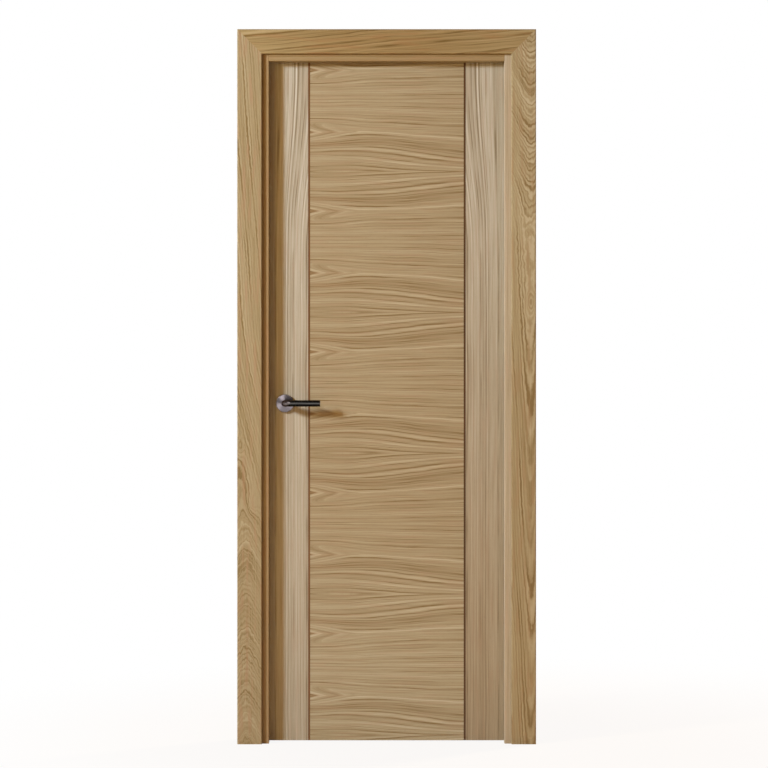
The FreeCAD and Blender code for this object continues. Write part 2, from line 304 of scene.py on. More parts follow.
# %% [markdown]
# ## Growth rings
# Veneer is sliced lengthways from a log. A slice that misses the heart by a little cuts the
# cone-shaped growth rings at a shallow angle, and they show as nested arches. The distance of a
# point from the heart, plus a rise along the log, gives the same arches: every line of equal
# value is one ring. A painted picture could show one board, but the formula gives every board
# its own figure, at any size. Two kinds of noise bend it: the log wanders slowly, and the rings
# ripple finely. Both looks that boards share are groups, so short functions for groups and for
# noise come first.

# %% Groups and noise


def new_group(name, inputs, outputs):
    """An empty shader group with its sockets, and the nodes at its two ends."""
    group = bpy.data.node_groups.new(name, "ShaderNodeTree")
    for label, value in inputs:
        kind = "NodeSocketColor" if isinstance(value, tuple) else "NodeSocketFloat"
        socket = group.interface.new_socket(name=label, in_out="INPUT", socket_type=kind)
        socket.default_value = value
    for label, kind in outputs:
        group.interface.new_socket(name=label, in_out="OUTPUT", socket_type="NodeSocket" + kind)
    inside = add_node(group, "NodeGroupInput").outputs
    result = add_node(group, "NodeGroupOutput").inputs
    return group, inside, result


def point(tree, x, y, z):
    """A vector from three values."""
    node = add_node(tree, "ShaderNodeCombineXYZ")
    for socket, value in zip(node.inputs, (x, y, z)):
        feed(tree, socket, value)
    return node.outputs[0]


def noise(tree, vector, detail=2.0, roughness=0.5):
    """Cloudy noise about a half, at a place given as a vector."""
    node = add_node(tree, "ShaderNodeTexNoise", noise_dimensions="3D")
    feed(tree, node.inputs["Vector"], vector)
    node.inputs["Scale"].default_value = 1.0
    node.inputs["Detail"].default_value = detail
    node.inputs["Roughness"].default_value = roughness
    return node.outputs["Fac"]


def streaks(tree, value, detail=2.0, roughness=0.5):
    """Noise along a single value, for lines that follow it."""
    node = add_node(tree, "ShaderNodeTexNoise", noise_dimensions="1D")
    feed(tree, node.inputs["W"], value)
    node.inputs["Scale"].default_value = 1.0
    node.inputs["Detail"].default_value = detail
    node.inputs["Roughness"].default_value = roughness
    return node.outputs["Fac"]


def stretched(tree, along, across, along_scale, across_scale, seed):
    """A place for noise that is stretched along the grain."""
    paced_along = calc(tree, "MULTIPLY", along, along_scale)
    paced_across = calc(tree, "MULTIPLY", across, across_scale)
    return point(tree, paced_along, paced_across, seed)


def offset(tree, value, amount):
    """Noise about a half turned into a shift either way."""
    return calc(tree, "MULTIPLY", calc(tree, "SUBTRACT", value, 0.5), amount)


print("new_group, point, noise, streaks, stretched and offset are ready")

# %% Growth rings
full_swing = 4.0
drift_across = 2.0
ripple_seed_step = 7.3

rings, ring_in, ring_out = new_group(
    "growth_rings",
    [
        ("Along", 0.0), ("Across", 0.0), ("Heart", 0.1), ("Depth", 0.03), ("Rise", 0.0),
        ("Wander", 0.02), ("Wander Length", 0.6), ("Wobble", 0.004), ("Wobble Across", 30.0),
        ("Wobble Along", 7.0), ("Seed", 0.0),
    ],
    [("Distance", "Float")],
)
turns = calc(rings, "DIVIDE", ring_in["Along"], ring_in["Wander Length"])
drift_at = point(rings, turns, calc(rings, "MULTIPLY", ring_in["Across"], drift_across), ring_in["Seed"])
drift = noise(rings, drift_at, 1.0)
drift = offset(rings, drift, calc(rings, "MULTIPLY", ring_in["Wander"], full_swing))
aside = calc(rings, "ADD", calc(rings, "SUBTRACT", ring_in["Across"], ring_in["Heart"]), drift)
deep = calc(rings, "MULTIPLY", ring_in["Depth"], ring_in["Depth"])
square = calc(rings, "ADD", calc(rings, "MULTIPLY", aside, aside), deep)
distance = calc(rings, "ADD", calc(rings, "SQRT", square), ring_in["Rise"])
ripple_at = stretched(
    rings, ring_in["Along"], ring_in["Across"], ring_in["Wobble Along"], ring_in["Wobble Across"],
    calc(rings, "ADD", ring_in["Seed"], ripple_seed_step),
)
ripple = noise(rings, ripple_at, 2.0)
ripple = offset(rings, ripple, calc(rings, "MULTIPLY", ring_in["Wobble"], full_swing))
rings.links.new(calc(rings, "ADD", distance, ripple), ring_out["Distance"])

print("group", rings.name)

# %% [markdown]
# ## From rings to veneer
# No two rings are equally wide or dark, so the bands are read from noise along the ring
# distance: a broad one for good and lean years, one for the rings and a thin one for the lines
# inside them, and some boards show every ring alike. The darkest lines fade in and out along the
# grain. Fibres, open pores and slow patches of colour lie over them. Each of these is one noise
# with a pace along and across the grain and a weight, and those numbers stand together, ahead of
# the net that adds them up. A brown tint then darkens the wood by an amount each board gives, as
# painted shade and painted light where the lamp's light falls off, and on the head as a tone.

# %% The numbers of the figure
seed_step = 31.7
years_pace = 0.21
thin_pace, thin_step = 2.7, 51.0
fading_along, fading_across = 6.0, 0.6
fibre_along, fibre_across = 5.0, 330.0
pore_along, pore_across = 70.0, 1900.0
patch_along, patch_across, patch_step = 1.7, 8.0, 3.1
fleck_along, fleck_across, fleck_step = 8.0, 90.0, 5.9
bands_weight = 0.9
thin_weight = 0.5
years_weight = 0.7
lines_weight = -0.48
fibre_weight = 1.0
patch_weight = 0.45
line_range = (0.48, 0.28)
line_fading = (0.42, 0.66)
figure_fading = (0.30, 0.62, 0.45, 1.25)
pore_range = (0.60, 0.72)
pore_in_bands = (0.62, 0.40, 0.4, 1.0)
fleck_range = (0.50, 0.70)
tone_reach = 0.55
# Painted shade and painted light: the tint that darkens boards where the lamp's light falls off, and a
# brown tone on the head.
shade_and_brown_tint = (0.80, 0.71, 0.60)
pore_shade = -0.20
fibre_relief = 0.4
fibre_dullness = 0.16
sheen_roughness = 0.40

print("pores are", round(1000 / pore_across, 1), "mm wide and", round(1000 / pore_along), "mm long")

# %% From rings to veneer
veneer, veneer_in, veneer_out = new_group(
    "veneer_figure",
    [
        ("Along", 0.0), ("Across", 0.0), ("Distance", 0.0), ("Ring", 0.007), ("Seed", 0.0),
        ("Contrast", 1.0), ("Evenness", 0.0), ("Even Share", 1.0), ("Browning", 0.0),
        ("Flush Amount", 0.3), ("Light", (0.5, 0.4, 0.3, 1)), ("Middle", (0.4, 0.3, 0.2, 1)),
        ("Dark", (0.3, 0.2, 0.1, 1)), ("Flush", (0.4, 0.25, 0.15, 1)),
    ],
    [("Color", "Color"), ("Height", "Float"), ("Roughness", "Float")],
)
along, across, seed = veneer_in["Along"], veneer_in["Across"], veneer_in["Seed"]


def mix_colour(tree, amount, first, second):
    """Two colours mixed by an amount."""
    node = add_node(tree, "ShaderNodeMix", data_type="RGBA")
    feed(tree, node.inputs[0], amount)
    feed(tree, node.inputs[6], first)
    feed(tree, node.inputs[7], second)
    return node.outputs[2]


count = calc(veneer, "DIVIDE", veneer_in["Distance"], veneer_in["Ring"])
count = calc(veneer, "MULTIPLY_ADD", seed, seed_step, count)
years = streaks(veneer, calc(veneer, "MULTIPLY", count, years_pace), 1.0)
bands = streaks(veneer, count, 2.0, 0.6)
thin = streaks(veneer, calc(veneer, "MULTIPLY_ADD", count, thin_pace, thin_step), 1.0)
fading = noise(veneer, stretched(veneer, along, count, fading_along, fading_across, seed), 1.0)
lines = calc(veneer, "MULTIPLY", remap(veneer, bands, *line_range), remap(veneer, fading, *line_fading))

fibre = noise(veneer, stretched(veneer, along, across, fibre_along, fibre_across, seed), 3.0, 0.65)
pores = noise(veneer, stretched(veneer, along, across, pore_along, pore_across, seed), 1.0)
in_bands = remap(veneer, bands, *pore_in_bands)
pores = calc(veneer, "MULTIPLY", remap(veneer, pores, *pore_range), in_bands)
patch_seed = calc(veneer, "ADD", seed, patch_step)
patch = noise(veneer, stretched(veneer, along, across, patch_along, patch_across, patch_seed), 2.0)
fleck_seed = calc(veneer, "ADD", seed, fleck_step)
flecks = noise(veneer, stretched(veneer, along, across, fleck_along, fleck_across, fleck_seed), 1.0)

even_turn = calc(veneer, "MULTIPLY", count, veneer_in["Even Share"])
even_lines = calc(veneer, "SINE", calc(veneer, "MULTIPLY", even_turn, 2 * math.pi))
figure = calc(veneer, "ADD", offset(veneer, bands, bands_weight), offset(veneer, thin, thin_weight))
figure = calc(veneer, "MULTIPLY_ADD", even_lines, veneer_in["Evenness"], figure)
figure = calc(veneer, "MULTIPLY", figure, remap(veneer, fading, *figure_fading))
figure = calc(veneer, "ADD", figure, offset(veneer, years, years_weight))
figure = calc(veneer, "MULTIPLY_ADD", lines, lines_weight, figure)
figure = calc(veneer, "MULTIPLY", figure, veneer_in["Contrast"])
figure = calc(veneer, "ADD", figure, offset(veneer, fibre, fibre_weight))
figure = calc(veneer, "ADD", figure, offset(veneer, patch, patch_weight))

lighter = remap(veneer, figure, 0.0, tone_reach, smooth=False)
darker = remap(veneer, figure, 0.0, -tone_reach, smooth=False)
flushed = calc(veneer, "MULTIPLY", remap(veneer, flecks, *fleck_range), veneer_in["Flush Amount"])
colour = mix_colour(veneer, lighter, veneer_in["Middle"], veneer_in["Light"])
colour = mix_colour(veneer, darker, colour, veneer_in["Dark"])
colour = mix_colour(veneer, flushed, colour, veneer_in["Flush"])
# Painted shade and painted light on most boards, a brown tone on the head: the colour darkened by the
# tint.
shade_and_brown = add_node(veneer, "ShaderNodeVectorMath", operation="MULTIPLY")
feed(veneer, shade_and_brown.inputs[0], colour)
shade_and_brown.inputs[1].default_value = shade_and_brown_tint
colour = mix_colour(veneer, veneer_in["Browning"], colour, shade_and_brown.outputs[0])
shaded = add_node(veneer, "ShaderNodeVectorMath", operation="SCALE")
feed(veneer, shaded.inputs[0], colour)
feed(veneer, shaded.inputs["Scale"], calc(veneer, "MULTIPLY_ADD", pores, pore_shade, 1.0))
veneer.links.new(shaded.outputs[0], veneer_out["Color"])
relief = calc(veneer, "MULTIPLY_ADD", pores, -1.0, calc(veneer, "MULTIPLY", fibre, fibre_relief))
veneer.links.new(relief, veneer_out["Height"])
gloss = calc(veneer, "MULTIPLY_ADD", fibre, fibre_dullness, sheen_roughness)
veneer.links.new(gloss, veneer_out["Roughness"])

print("group", veneer.name)

# %% [markdown]
# ## Tones and lacquer
# Oak is pale between its rings and brown in them, with a reddish flush here and there, so one
# veneer has four tones. They are written as screen colours, which are easy to compare with real
# wood. A thin clear lacquer lies over all the wood, and the open pores still show through it as a
# very fine relief.

# %% Tones and lacquer
pore_depth = 0.0001
relief_strength = 0.5
lacquer_specular = 0.3
lacquer_weight = 0.08
lacquer_roughness = 0.35


def srgb(red, green, blue):
    """A screen colour, 0 to 255, as the linear colour that a shader takes."""
    values = [channel / 255 for channel in (red, green, blue)]
    linear = [v / 12.92 if v <= 0.04045 else ((v + 0.055) / 1.055) ** 2.4 for v in values]
    return (*linear, 1.0)


def tones(light, middle, dark, flush):
    """The four tones of one veneer, as screen colours."""
    return {"Light": srgb(*light), "Middle": srgb(*middle), "Dark": srgb(*dark), "Flush": srgb(*flush)}


def place_group(tree, group, **values):
    """A group node with its inputs filled; underscores in names stand for spaces."""
    node = add_node(tree, "ShaderNodeGroup", node_tree=group)
    for name, value in values.items():
        feed(tree, node.inputs[name.replace("_", " ")], value)
    return node.outputs


def start_material(name):
    """A new material with its shader, and the place of a point on the door in metres."""
    material = bpy.data.materials.new(name)
    material.use_nodes = True
    tree = material.node_tree
    place = axes(tree, add_node(tree, "ShaderNodeTexCoord").outputs["Object"])
    return material, tree, tree.nodes["Principled BSDF"], place


def finish_wood(tree, shader, figure):
    """Colour, relief of the pores and the sheen of the lacquer."""
    feed(tree, shader.inputs["Base Color"], figure["Color"])
    feed(tree, shader.inputs["Roughness"], figure["Roughness"])
    relief = add_node(tree, "ShaderNodeBump")
    relief.inputs["Strength"].default_value = relief_strength
    relief.inputs["Distance"].default_value = pore_depth
    feed(tree, relief.inputs["Height"], figure["Height"])
    feed(tree, shader.inputs["Normal"], relief.outputs[0])
    shader.inputs["Specular IOR Level"].default_value = lacquer_specular
    shader.inputs["Coat Weight"].default_value = lacquer_weight
    shader.inputs["Coat Roughness"].default_value = lacquer_roughness


print("half white on a screen is", round(srgb(128, 128, 128)[0], 3), "in linear light")

# %% [markdown]
# ## The veneer of a board
# Each board of the door is veneered with its own strip, so each look is one material with its
# own values: which way the grain runs, where the heart of the log lies, how wide the rings are
# and the tones of the wood. Lines may lean, open into arches past one height, or turn round a
# small knot. One function with many named values keeps the boards alike in what they share.

# %% The veneer of a board
edge_turn = 0.8
arch_smoothing = 0.15
# Heights between which painted shade grows towards the foot of the door.
painted_shade_none = 1.7
painted_shade_full = 0.2
board_flush = 0.5


def painted_shade_below(tree, place, amount):
    """Painted shade, a browning that grows from nothing near the top of the door to an amount at its
    foot.
    """
    return remap(tree, place[Z], painted_shade_none, painted_shade_full, 0.0, amount)


def swirl(tree, along, across, along_middle, across_middle, length, width, amount):
    """A bump in the ring distance, round which the lines turn as round a small knot."""
    high = calc(tree, "DIVIDE", calc(tree, "SUBTRACT", along, along_middle), length)
    wide = calc(tree, "DIVIDE", calc(tree, "SUBTRACT", across, across_middle), width)
    away = calc(tree, "ADD", calc(tree, "MULTIPLY", high, high), calc(tree, "MULTIPLY", wide, wide))
    return calc(tree, "MULTIPLY", calc(tree, "EXPONENT", calc(tree, "MULTIPLY", away, -1.0)), amount)


def board_material(
    name, along, across, colours, ring=0.006, contrast=1.0, seed=1.0, heart=9.0, depth=0.02, lean=0.0,
    arch_slope=0.0, arch_from=0.0, wander=0.004, wander_length=0.8, wobble=0.001, wobble_across=30.0,
    wobble_along=7.0, evenness=0.0, shade_and_browning=0.0, eyes=(),
):
    """Veneer on a straight board: lines that lean, and past one height open arches.

    The depth of a point counts into the way across, so that the edges show upright lines too.
    The shade and browning is an amount of painted shade that grows downwards, or a range of distances
    from the door's middle, for a brown tone over the middle.
    """
    material, tree, shader, place = start_material(name)
    aside = place[across]
    if across != Y:
        behind = calc(tree, "SUBTRACT", place[Y], architrave_face)
        aside = calc(tree, "MULTIPLY_ADD", behind, edge_turn, aside)
    rise = calc(tree, "MULTIPLY", place[along], lean)
    if arch_slope:
        past = calc(tree, "SUBTRACT", place[along], arch_from)
        past = calc(tree, "SMOOTH_MAX" if arch_slope < 0 else "SMOOTH_MIN", past, 0.0, arch_smoothing)
        rise = calc(tree, "MULTIPLY_ADD", past, arch_slope, rise)
    for eye in eyes:
        rise = calc(tree, "ADD", rise, swirl(tree, place[along], aside, *eye))
    if isinstance(heart, tuple):
        heart = remap(tree, place[along], *heart)
    if isinstance(wobble, tuple):
        wobble = remap(tree, place[along], *wobble)
    if isinstance(contrast, tuple):
        contrast = remap(tree, aside, *contrast)
    field = place_group(
        tree, rings, Along=place[along], Across=aside, Heart=heart, Depth=depth,
        Rise=rise, Wander=wander, Wander_Length=wander_length, Wobble=wobble,
        Wobble_Across=wobble_across, Wobble_Along=wobble_along, Seed=seed,
    )
    # A number gives painted shade that grows downwards; a range gives the head its brown tone over the
    # middle.
    if isinstance(shade_and_browning, tuple):
        off_middle = calc(tree, "ABSOLUTE", calc(tree, "SUBTRACT", place[along], door_middle))
        shade_and_browning = remap(tree, off_middle, *shade_and_browning)
    else:
        shade_and_browning = painted_shade_below(tree, place, shade_and_browning)
    figure = place_group(
        tree, veneer, Along=place[along], Across=aside, Distance=field["Distance"],
        Ring=ring, Seed=seed, Contrast=contrast, Evenness=evenness, Flush_Amount=board_flush,
        Browning=shade_and_browning, **colours,
    )
    finish_wood(tree, shader, figure)
    return material


# The boards get painted shade, darker from the first height down to the second.
print("boards brown from", painted_shade_none, "m down to", painted_shade_full, "m")

# %% [markdown]
# ## The linings
# The linings and their stop boards are plain and straight-grained. The lock side, which lies in
# the shade of its architrave, gets browner tones as painted shade, and the hinge side in full light
# paler ones as painted light. Each takes a heart far outside the board, which makes its rings run
# straight.

# %% The linings


def use(material, *names):
    """Give pieces a material in place of the plain one they come with."""
    for name in names:
        for slot in nodes[name].material_slots:
            slot.material = material


# Painted light and painted shade: paler tones for the lit hinge side, browner ones for the shaded lock
# side.
lit_jamb_tones = tones((200, 193, 168), (180, 169, 140), (146, 130, 98), (184, 164, 136))
shaded_jamb_tones = tones((168, 148, 110), (152, 130, 90), (122, 100, 60), (156, 124, 86))
stop_tones = tones((172, 152, 111), (154, 134, 94), (127, 105, 61), (158, 128, 90))

use(
    board_material("lock_jamb_painted_shade_wood", Z, X, shaded_jamb_tones, ring=0.004, seed=4.0, heart=-0.9, contrast=0.8),
    "jamb_lock_side", "stop_lock_side",
)
use(
    board_material("hinge_jamb_painted_light_wood", Z, X, lit_jamb_tones, ring=0.005, seed=2.0, heart=-0.9, contrast=1.3),
    "jamb_hinge_side", "stop_hinge_side",
)
use(
    board_material("head_wood", X, Z, stop_tones, ring=0.004, seed=3.0, heart=1.5, contrast=0.8),
    "head_jamb", "stop_head",
)

print("linings done")

# %% [markdown]
# ## The architraves
# The left architrave was cut near the heart at its foot, so arches with two small knots stand low
# in it. In the right one the arches stand high, with ripples, and its outer edge shows the rings
# most. The lines of the head lean, and it is brownest over the middle of the door. A range in
# place of a number lets the heart, the ripples or the contrast change along or across the board.

# %% The architraves
frame_tones = tones((175, 165, 132), (158, 145, 108), (129, 111, 70), (165, 136, 103))
head_tones = tones((178, 162, 120), (156, 139, 95), (118, 97, 55), (159, 126, 83))
right_tones = tones((187, 179, 145), (167, 155, 117), (133, 114, 73), (163, 139, 101))

use(
    board_material(
        "architrave_left_wood", Z, X, frame_tones, ring=0.0075, seed=5.0,
        heart=(0.60, 1.25, outer_left + 0.028, outer_left - 0.05), depth=0.016, lean=0.085,
        arch_slope=0.40, arch_from=0.66, wander=0.008, wobble=(0.55, 0.90, 0.0036, 0.0016),
        wobble_across=95.0, wobble_along=50.0, evenness=0.22,
        contrast=(outer_left + 0.042, outer_left + 0.064, 1.05, 0.6),
        eyes=(
            (0.868, outer_left + 0.006, 0.030, 0.012, 0.020),
            (0.700, outer_left + 0.044, 0.035, 0.016, 0.020),
        ),
    ),
    "architrave_front_left", "architrave_back_left",
)
# Painted shade: the right architrave darkens towards its foot.
use(
    board_material(
        "architrave_right_wood", Z, X, right_tones, ring=0.0065, seed=6.0, heart=outer_right - 0.016,
        depth=0.020, lean=-0.05, arch_slope=-0.37, arch_from=1.60, wander=0.006, shade_and_browning=0.45,
        wobble=(1.0, 1.45, 0.0009, 0.0028), wobble_across=70.0, wobble_along=45.0, evenness=0.30,
        contrast=(outer_right - 0.060, outer_right - 0.036, 0.45, 1.20),
        eyes=(
            (1.520, outer_right - 0.008, 0.030, 0.020, 0.012),
            (1.292, outer_right - 0.014, 0.030, 0.012, -0.018),
        ),
    ),
    "architrave_front_right", "architrave_back_right",
)
use(
    board_material(
        "architrave_head_wood", X, Z, head_tones, ring=0.0075, seed=8.0, heart=head_low - 0.15,
        depth=0.05, lean=-0.085, wander=0.008, wander_length=0.5, wobble=0.0022, contrast=1.12,
        shade_and_browning=(0.10, 0.37, 0.72, 0.0),
    ),
    "architrave_front_head", "architrave_back_head",
)

print("architraves done")

# %% [markdown]
# ## The side fields
# The narrow fields beside the strips have upright grain, and the right one is the mirror image
# of the left, as two neighbouring sheets opened like a book. Measuring across from the nearer
# strip outwards gives the mirror without a second pattern. Towards the top the rings spread, as
# they do near the root of a tree: the distance from the outer edge is divided by a spread that
# grows with height, so the lines lean over to the strip and run out against it. They are clearest
# there and calm down towards the outer edge. The wood is darker at the foot and at the right, as
# painted shade where the lamp's light falls off.

# %% The side fields
centre_middle = (centre_left + centre_right) / 2
centre_half = (centre_right - centre_left) / 2
side_width = centre_left - leaf_left
spread_from = 1.45
spread_to = 2.0
spread_most = 1.55
clear_from = 1.0
clear_to = 1.8
clear_most = 1.8
calm_from = 0.05
calm_to = 0.095
calm_share = 0.55
# Shares of painted shade at the left and the right edge of the leaf.
painted_shade_left = 0.15
painted_shade_right = 0.95
side_tones = tones((203, 202, 184), (177, 172, 149), (136, 124, 97), (176, 160, 136))


def side_field_material():
    """Pale upright veneer, mirrored about the middle of the leaf."""
    material, tree, shader, place = start_material("side_field_veneer")
    off_middle = calc(tree, "ABSOLUTE", calc(tree, "SUBTRACT", place[X], centre_middle))
    across = calc(tree, "SUBTRACT", off_middle, centre_half)
    spread = remap(tree, place[Z], spread_from, spread_to, 1.0, spread_most)
    clear = remap(tree, place[Z], clear_from, clear_to, 1.0, clear_most)
    calm = remap(tree, across, calm_from, calm_to, 1.0, calm_share)
    # Painted shade: darker towards the right and towards the foot.
    shade_and_browning = remap(tree, place[X], leaf_left, leaf_right, painted_shade_left, painted_shade_right)
    from_edge = calc(tree, "DIVIDE", calc(tree, "SUBTRACT", side_width, across), spread)
    field = place_group(
        tree, rings, Along=place[Z], Across=from_edge, Heart=-0.2, Depth=0.02, Rise=0.0,
        Wander=0.002, Wander_Length=0.7, Wobble=0.0008, Seed=12.0,
    )
    figure = place_group(
        tree, veneer, Along=place[Z], Across=across, Distance=field["Distance"], Ring=0.0090,
        Seed=12.045, Contrast=calc(tree, "MULTIPLY", clear, calm), Evenness=0.14, Flush_Amount=0.35,
        Browning=painted_shade_below(tree, place, shade_and_browning), **side_tones,
    )
    finish_wood(tree, shader, figure)
    return material


use(
    side_field_material(),
    "veneer_front_left", "veneer_front_right", "veneer_back_left", "veneer_back_right",
)

print("side fields done")

# %% [markdown]
# ## The centre field
# The middle of the leaf is laid with sheets whose grain runs level. Each sheet is turned over
# against the one below, so the figure is mirrored at every joint, and a ping-pong measure of
# height gives that folding. Plain level rings are then pushed about. Near one joint they swell
# and close towards the right, so that both sheets together show a long lens, and beside the joint
# they crowd together there. At its left end each sheet has a short nest of arches: the level rings
# are pushed apart, and a tent-shaped bump puts its pointed lines in the room between them. The
# rings are most even in the nest and the lens. The sheets are browned more the higher they lie,
# and the lowest stay palest, as painted light that makes up for the lamp's light falling off
# towards the floor.

# %% Sizes of the centre field
sheet_width = 0.2073
first_joint = 0.0198
nest_middle = 0.116
nest_room = 0.036
nest_length = 0.21
tent_half = 0.033
tent_length = 0.150
tent_height = 0.029
tent_smoothing = 0.15
swell_from = -0.02
swell_to = 0.14
swell_depth = -0.006
lens_from = 0.07
lens_to = 0.50
lens_height = 0.024
joint_reach = 0.13
joint_rest = 0.10
squeeze_reach = 0.045
squeeze_most = 1.4
plain_evenness = 0.03
nest_evenness = 0.34
lens_evenness = 0.20
lens_even_width = 0.09
lens_even_from = 0.15
# Painted light and shade: browner upwards, paler at the foot where the lamp's light falls off.
painted_light_below = 0.15
painted_shade_above = 0.75
centre_painted_shade = 0.47
centre_seed = 21.0
sheet_seed_step = 1.7

print(math.ceil((leaf_top - first_joint) / sheet_width) + 1, "sheets, the first and last cut off")

# %% The centre field
centre_tones = tones((195, 190, 161), (168, 158, 125), (130, 110, 69), (172, 150, 119))


def centre_field_material():
    """Level veneer, book-matched from sheet to sheet."""
    material, tree, shader, place = start_material("centre_field_veneer")
    height = calc(tree, "SUBTRACT", place[Z], first_joint)
    across = calc(tree, "PINGPONG", height, sheet_width)
    along = calc(tree, "SUBTRACT", place[X], centre_left)
    sheet = calc(tree, "FLOOR", calc(tree, "DIVIDE", height, sheet_width))

    swell = remap(tree, along, swell_from, swell_to, 0.0, swell_depth)
    pinch = remap(tree, along, lens_from, lens_to, 0.0, lens_height, smooth=False)
    near_joint = remap(tree, across, 0.0, joint_reach, 1.0, joint_rest)
    push = calc(tree, "MULTIPLY", calc(tree, "ADD", swell, pinch), near_joint)
    fall = calc(tree, "EXPONENT", calc(tree, "DIVIDE", across, -squeeze_reach))
    squeeze = remap(tree, along, lens_from, lens_to, 0.0, squeeze_most)
    push = calc(tree, "ADD", push, calc(tree, "MULTIPLY", calc(tree, "MULTIPLY", across, fall), squeeze))

    off_nest = calc(tree, "SUBTRACT", across, nest_middle)
    share = calc(tree, "DIVIDE", off_nest, nest_room)
    bell = calc(tree, "EXPONENT", calc(tree, "MULTIPLY", calc(tree, "MULTIPLY", share, share), -1.0))
    room = calc(tree, "MULTIPLY", bell, remap(tree, along, 0.0, nest_length, -1.0, 0.0))
    push = calc(tree, "ADD", push, calc(tree, "MULTIPLY", off_nest, room))

    side = calc(tree, "DIVIDE", calc(tree, "ABSOLUTE", off_nest), tent_half)
    tip = calc(tree, "SUBTRACT", 1.0, calc(tree, "DIVIDE", along, tent_length))
    tent = calc(tree, "SMOOTH_MAX", calc(tree, "SUBTRACT", tip, side), 0.0, tent_smoothing)
    push = calc(tree, "MULTIPLY_ADD", tent, tent_height, push)

    in_lens = remap(tree, across, 0.0, lens_even_width, 1.0, 0.0)
    in_lens = calc(tree, "MULTIPLY", in_lens, remap(tree, along, 0.0, lens_even_from))
    evenness = calc(tree, "MULTIPLY_ADD", tent, nest_evenness, plain_evenness)
    evenness = calc(tree, "MULTIPLY_ADD", in_lens, lens_evenness, evenness)
    # Painted light and shade: browner towards the top, so the foot stays paler.
    shade_and_browning = remap(tree, place[Z], painted_light_below, painted_shade_above, 0.0, centre_painted_shade)

    field = place_group(
        tree, rings, Along=along, Across=across, Heart=-0.1, Depth=0.0, Rise=push,
        Wander=0.003, Wander_Length=0.3, Wobble=0.0012, Wobble_Along=11.0,
        Seed=calc(tree, "MULTIPLY_ADD", sheet, sheet_seed_step, centre_seed),
    )
    figure = place_group(
        tree, veneer, Along=along, Across=across, Distance=field["Distance"], Ring=0.006,
        Seed=centre_seed, Contrast=1.1, Flush_Amount=0.3, Evenness=evenness, Even_Share=0.42,
        Browning=shade_and_browning, **centre_tones,
    )
    finish_wood(tree, shader, figure)
    return material


use(centre_field_material(), "veneer_front_centre", "veneer_back_centre")

print("centre field done")

# %% [markdown]
# ## Strips and edges
# The two strips between the fields are red-brown wood, the one on the hinge side a little darker,
# and the edges of the leaf are solid oak. A plain tone would do from far away. From near both show
# fine grain, so they are boards too, with very narrow rings.

# %% Strips and edges
lock_strip_tones = tones((130, 98, 62), (110, 78, 46), (84, 58, 30), (122, 78, 48))
hinge_strip_tones = tones((100, 73, 42), (79, 54, 28), (58, 38, 19), (92, 58, 30))
use(
    board_material("lock_strip_wood", Z, X, lock_strip_tones, ring=0.002, seed=31.0),
    "inlay_front_left", "inlay_back_left",
)
use(
    board_material("hinge_strip_wood", Z, X, hinge_strip_tones, ring=0.002, seed=32.0),
    "inlay_front_right", "inlay_back_right",
)
use(
    board_material("edge_wood", Z, Y, frame_tones, ring=0.004, seed=33.0, heart=0.3, wander=0.01),
    "lipping_lock_edge", "lipping_hinge_edge",
)
use(
    board_material("cross_edge_wood", X, Y, frame_tones, ring=0.004, seed=34.0, heart=0.3, wander=0.01),
    "lipping_bottom_edge", "lipping_top_edge", "leaf_core",
)

print("strips and edges done")

# %% [markdown]
# ## Steel
# Steel is never even. Fine scratches from grinding or drawing vary its gloss and its tone, and
# broad smudges from hands vary its gloss. Both are noise, and the scratches are stretched the way
# that the piece was drawn.

# %% Steel
smudge_scale = 60.0
scratch_roughness = 0.8
smudge_roughness = 0.5
scratch_range = (0.35, 0.65)
scratch_tone = 0.78


def scaled(tree, place, scales):
    """A place for noise, with each of its three values multiplied."""
    return point(tree, *[calc(tree, "MULTIPLY", place[axis], scales[axis]) for axis in (X, Y, Z)])


def steel_material(name, tone, roughness, scratch_scale, stretch):
    """Steel with a fine grain of scratches in its gloss and tone."""
    material, tree, shader, place = start_material(name)
    scratches = noise(tree, scaled(tree, place, [scratch_scale * share for share in stretch]), 3.0, 0.6)
    smudges = noise(tree, scaled(tree, place, [smudge_scale] * 3), 2.0)
    rough = calc(tree, "ADD", offset(tree, scratches, roughness * scratch_roughness), roughness)
    rough = calc(tree, "ADD", rough, offset(tree, smudges, roughness * smudge_roughness))
    bright = srgb(*tone)
    dull = tuple(channel * scratch_tone for channel in bright[:3]) + (1.0,)
    colour = mix_colour(tree, remap(tree, scratches, *scratch_range), dull, bright)
    feed(tree, shader.inputs["Roughness"], rough)
    feed(tree, shader.inputs["Base Color"], colour)
    shader.inputs["Metallic"].default_value = 1.0
    return material, tree, shader, place


print("smudges are about", round(1000 / smudge_scale), "mm wide")

# %% [markdown]
# ## The metals of the door
# The rose is turned on a lathe. Its fine grooves run in circles, so light fans out across them
# and shows as bright wedges. An anisotropic shader with a tangent that runs round the lever's
# axis does that. The grip is a polished round bar of dark steel, but its neck and elbow are only
# brushed, so they get a paler and rougher share that fades out where the grip begins. Hinges and
# plates are satin.

# %% The metals of the door
groove_turn = 0.25
elbow_from = 0.004
elbow_to = 0.022


def turned(tree, shader, amount):
    """Grooves that run round the axis of the spindle."""
    tangent = add_node(tree, "ShaderNodeTangent", direction_type="RADIAL", axis="Y")
    feed(tree, shader.inputs["Tangent"], tangent.outputs[0])
    shader.inputs["Anisotropic"].default_value = amount
    shader.inputs["Anisotropic Rotation"].default_value = groove_turn


